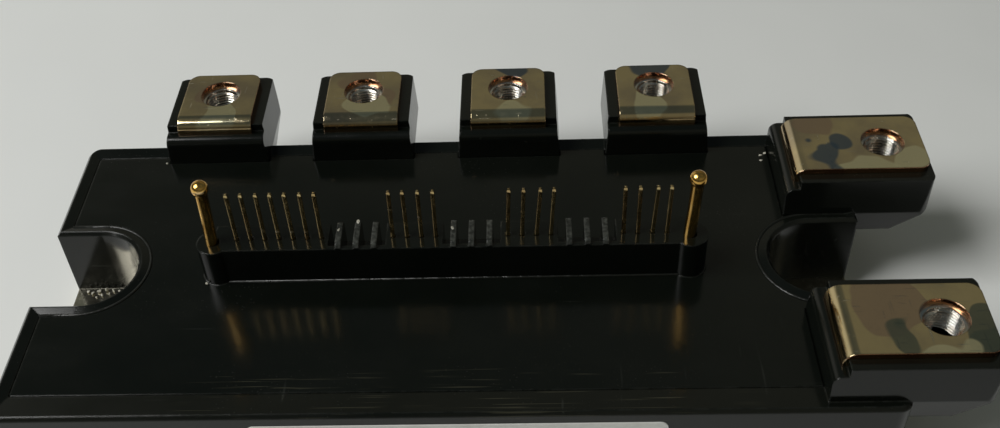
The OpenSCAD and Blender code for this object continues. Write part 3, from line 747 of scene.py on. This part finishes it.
pattern_pin = straight_pin(pin_low.z, pin_high.z)
for group, leans in PIN_LEANS.items():
    low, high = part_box(group)
    row = []
    for count, sideways in enumerate(leans):
        pin = copy_to(pattern_pin, (0, 0, 0))
        if sideways:
            lean(pin, sideways / 1000)
        pin.location = (low.x + PIN_INSET + count * PIN_STEP, (low.y + high.y) / 2, 0)
        row.append(pin)
    row = join(row, group + "_bent")
    settle(row)
    row.data.materials.clear()
    row.data.materials.append(pin_gold)
    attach(row, "root")
    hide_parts(group)
bpy.data.objects.remove(pattern_pin)


# ---- Guide pins
# Turned brass, one at each end of the strip, with a ball head that finds its hole in the
# driver board. Both are pressed in and lean very slightly to the same side.

GUIDE_RINGS = 20
GUIDE_LEAN = 0.0004
GUIDE_STEM_RADIUS = 0.00085

guide_brass = metal_material(
    "guide_brass", 0.00015, 0.00001, (0.98, 0.86, 0.60, 1),
    Clean=(0.84, 0.52, 0.15, 1), Stained=(0.66, 0.36, 0.08, 1), Stain_Scale=420.0, Polished=0.12, Dull=0.24)


def turned_pin(name, foot, top, stem_r, ball_r):
    """A circle drawn up from the foot, ring by ring, and swelled into the ball."""
    ball_z = top - ball_r
    meet = math.asin(stem_r / ball_r)
    rings = [(foot + 0.0003, stem_r), (STRIP_TOP, stem_r), ((STRIP_TOP + ball_z) / 2, stem_r),
             (ball_z - ball_r * math.cos(meet), stem_r * 1.001)]
    for step in range(1, GUIDE_RINGS):
        angle = meet + (math.pi - meet) * step / GUIDE_RINGS
        rings.append((ball_z - ball_r * math.cos(angle), ball_r * math.sin(angle)))
    bpy.ops.object.select_all(action="DESELECT")
    bpy.ops.mesh.primitive_circle_add(
        vertices=32, radius=stem_r * 0.7, location=(0, 0, foot), fill_type="NGON")
    pin = start_from(name)
    settle(pin)
    bpy.ops.object.mode_set(mode="EDIT")
    bpy.ops.mesh.select_all(action="SELECT")
    z, r = foot, stem_r * 0.7
    for next_z, next_r in rings:
        bpy.ops.mesh.extrude_region_move(TRANSFORM_OT_translate={"value": (0, 0, next_z - z)})
        bpy.ops.transform.resize(value=(next_r / r, next_r / r, 1), center_override=(0, 0, next_z))
        z, r = next_z, next_r
    bpy.ops.mesh.select_all(action="SELECT")
    bpy.ops.mesh.normals_make_consistent(inside=False)
    free = top - STRIP_TOP
    for share in (0.0, 0.4, 0.7):
        level = STRIP_TOP + share * free + 0.00005
        pick(lambda place, normal: place.z > level, "corners")
        bpy.ops.transform.translate(value=(GUIDE_LEAN / 3, 0, 0))
    bpy.ops.object.mode_set(mode="OBJECT")
    bpy.ops.object.shade_smooth_by_angle(angle=math.radians(40))
    return pin


for side in ("left", "right"):
    low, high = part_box("guide_pin_" + side)
    guide = turned_pin("guide_" + side, low.z, high.z, GUIDE_STEM_RADIUS, (high.x - low.x) / 2)
    guide.location = ((low.x + high.x) / 2 - GUIDE_LEAN / 2, (low.y + high.y) / 2, 0)
    settle(guide)
    guide.data.materials.append(guide_brass)
    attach(guide, "root")
    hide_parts("guide_pin_" + side)


# ---- Label
# Self-adhesive white paper on the front wall, left blank. It has a satin face, faint fibres
# and slightly grubby patches.

label_paper, tree, shader = plain_material("label_paper")
place = tree.nodes.new("ShaderNodeTexCoord").outputs["Object"]
fibres = noise(tree, stretched(tree, place, (0.4, 1, 1)), 1800, 4, 0.65)
grime = remap(tree, noise(tree, place, 120, 4), 0.5, 0.8, 0, 0.4)
colour = blend(tree, remap(tree, fibres, 0.3, 0.7), (0.80, 0.80, 0.77, 1), (0.70, 0.70, 0.67, 1))
tree.links.new(blend(tree, grime, colour, (0.52, 0.50, 0.45, 1)), shader.inputs["Base Color"])
tree.links.new(remap(tree, fibres, 0.3, 0.7, 0.38, 0.55), shader.inputs["Roughness"])
raise_surface(tree, shader, fibres, 0.000012)
dress("front_label", label_paper)


# ---- Flecks of glue, chips of flash and painted highlights
# Crumbs of cured silicone and of moulding flash, left where the case meets the base in the
# notch and where the blocks meet the wall. Each is a lump pressed flat, no two alike.

# The pale lumps on top of the ribs, at 21.5 mm and higher, are painted highlights where the ribs catch the
# light
# Place in millimetres, and how far the lump is drawn out along, across and upwards
CRUMBS_AND_GLINTS = (
    (-55.8, 6.3, 3.3, 0.9, 0.4, 0.6), (-54.6, 6.5, 3.4, 0.6, 0.4, 0.9), (-56.7, 6.0, 3.2, 0.8, 0.5, 0.4),
    (-53.6, 6.5, 3.2, 0.7, 0.3, 0.5), (-57.5, 6.3, 3.2, 0.5, 0.5, 0.4), (-55.2, 5.6, 3.15, 0.4, 0.6, 0.3),
    (-52.6, 6.4, 3.2, 0.5, 0.4, 0.4), (-54.1, 5.9, 3.15, 0.5, 0.3, 0.3), (-56.0, 5.2, 3.1, 0.4, 0.3, 0.3),
    (47.4, 21.9, 14.9, 0.7, 0.4, 0.4), (48.1, 22.4, 14.9, 0.5, 0.5, 0.3), (47.3, 20.8, 14.85, 0.3, 0.5, 0.3),
    (-46.0, 22.9, 14.9, 0.5, 0.4, 0.3), (-15.2, 0.1, 21.8, 0.4, 0.7, 0.3), (0.7, 0.1, 21.8, 0.4, 0.8, 0.3),
    (21.7, -2.3, 21.5, 0.4, 0.5, 0.3), (-12.6, 1.7, 21.8, 0.8, 0.5, 0.25),
    (-34.6, -3.3, 14.9, 0.5, 0.35, 0.35),
)

crumb_and_glint_white, tree, shader = plain_material("crumb_and_glint_white")
place = tree.nodes.new("ShaderNodeTexCoord").outputs["Object"]
crumb = noise(tree, place, 5000, 3)
cured = blend(tree, crumb, (0.62, 0.60, 0.52, 1), (0.36, 0.34, 0.27, 1))
tree.links.new(cured, shader.inputs["Base Color"])
tree.links.new(remap(tree, crumb, 0.3, 0.7, 0.3, 0.55), shader.inputs["Roughness"])
raise_surface(tree, shader, crumb, 0.00002)
crumbs = []
for count, (x, y, z, long, wide, thick) in enumerate(CRUMBS_AND_GLINTS):
    bpy.ops.object.select_all(action="DESELECT")
    bpy.ops.mesh.primitive_ico_sphere_add(subdivisions=1, radius=0.0005)
    lump = start_from("fleck")
    bpy.ops.object.mode_set(mode="EDIT")
    bpy.ops.mesh.select_all(action="SELECT")
    bpy.ops.transform.vertex_random(offset=0.00022, seed=count + 3)
    bpy.ops.object.mode_set(mode="OBJECT")
    lump.scale = (long, wide, thick)
    lump.rotation_euler = (0, 0, 0.7 * count)
    lump.location = (x / 1000, y / 1000, z / 1000)
    settle(lump)
    crumbs.append(lump)
crumbs_and_glints = join(crumbs, "crumbs_and_glints")
settle(crumbs_and_glints)
crumbs_and_glints.data.materials.append(crumb_and_glint_white)
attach(crumbs_and_glints, "root")


# ---- Studio
# A pale sheet to stand on, one wide soft window high on the left, a dim room with a pale wall
# at the back left, and the camera.

bpy.ops.object.select_all(action="DESELECT")
FLOOR_DROP = 0.00003
bpy.ops.mesh.primitive_plane_add(size=6, location=(0, 0, -FLOOR_DROP))
floor = start_from("floor")
sheet_grey, tree, shader = plain_material("sheet_grey")
place = tree.nodes.new("ShaderNodeTexCoord").outputs["Object"]
mottle = noise(tree, place, 6, 4, 0.55)
paper = blend(tree, remap(tree, mottle, 0.3, 0.7), (0.80, 0.81, 0.79, 1), (0.75, 0.76, 0.75, 1))
tree.links.new(paper, shader.inputs["Base Color"])
shader.inputs["Roughness"].default_value = 0.7
raise_surface(tree, shader, mottle, 0.002)
floor.data.materials.append(sheet_grey)


def soft_light(name, place, width, power, tint):
    lamp = bpy.data.lights.new(name, "AREA")
    lamp.shape = "SQUARE"
    lamp.size = width
    lamp.energy = power
    lamp.color = tint
    lamp_object = bpy.data.objects.new(name, lamp)
    bpy.context.scene.collection.objects.link(lamp_object)
    lamp_object.location = place
    lamp_object.rotation_euler = (-Vector(place)).to_track_quat("-Z", "Y").to_euler()


soft_light("window", (-0.46, -0.13, 0.59), 0.42, 4.8, (1.0, 1.0, 0.985))

ROOM_DARK = (0.055, 0.066, 0.068, 1)
ROOM_PALE = (0.165, 0.162, 0.128, 1)
ROOM_LOW = (0.042, 0.037, 0.025, 1)
ROOM_WALL = (0.52, 0.51, 0.45, 1)
world = bpy.data.worlds.new("room")
bpy.context.scene.world = world
world.use_nodes = True
room = world.node_tree
ways = room.nodes.new("ShaderNodeTexCoord").outputs["Generated"]
walls = noise(room, ways, 1.6, 1)
room_colour = blend(room, remap(room, walls, 0.40, 0.56), ROOM_DARK, ROOM_PALE)
rise = room.nodes.new("ShaderNodeSeparateXYZ")
room.links.new(ways, rise.inputs["Vector"])
room_colour = blend(room, remap(room, rise.outputs["Z"], 0.05, 0.45), ROOM_LOW, room_colour)
towards = room.nodes.new("ShaderNodeVectorMath")
towards.operation = "DOT_PRODUCT"
room.links.new(ways, towards.inputs[0])
towards.inputs[1].default_value = (-0.59, 0.75, 0.30)
pale_wall = remap(room, towards.outputs["Value"], 0.93, 0.98)
room_colour = blend(room, pale_wall, room_colour, ROOM_WALL)
room.links.new(room_colour, room.nodes["Background"].inputs["Color"])

CAMERA_PLACE = (0.01189, -0.11550, 0.13532)
CAMERA_YAW = -0.05498
CAMERA_PITCH = 0.75259
CAMERA_ROLL = -0.05681
forward = Vector((math.sin(CAMERA_YAW) * math.cos(CAMERA_PITCH),
                  math.cos(CAMERA_YAW) * math.cos(CAMERA_PITCH), -math.sin(CAMERA_PITCH)))
level = Vector((math.cos(CAMERA_YAW), -math.sin(CAMERA_YAW), 0))
upright = level.cross(forward)
right = math.cos(CAMERA_ROLL) * level + math.sin(CAMERA_ROLL) * upright
above = -math.sin(CAMERA_ROLL) * level + math.cos(CAMERA_ROLL) * upright
lens = bpy.data.cameras.new("camera")
lens.sensor_width = 36
lens.lens = 41.985
lens.shift_x = 0.01465
lens.shift_y = -0.01358
lens.clip_start = 0.005
camera = bpy.data.objects.new("camera", lens)
bpy.context.scene.collection.objects.link(camera)
facing = Matrix((right, above, -forward)).transposed().to_4x4()
facing.translation = Vector(CAMERA_PLACE)
camera.matrix_world = facing
bpy.context.scene.camera = camera
bpy.context.scene.view_settings.view_transform = "Standard"
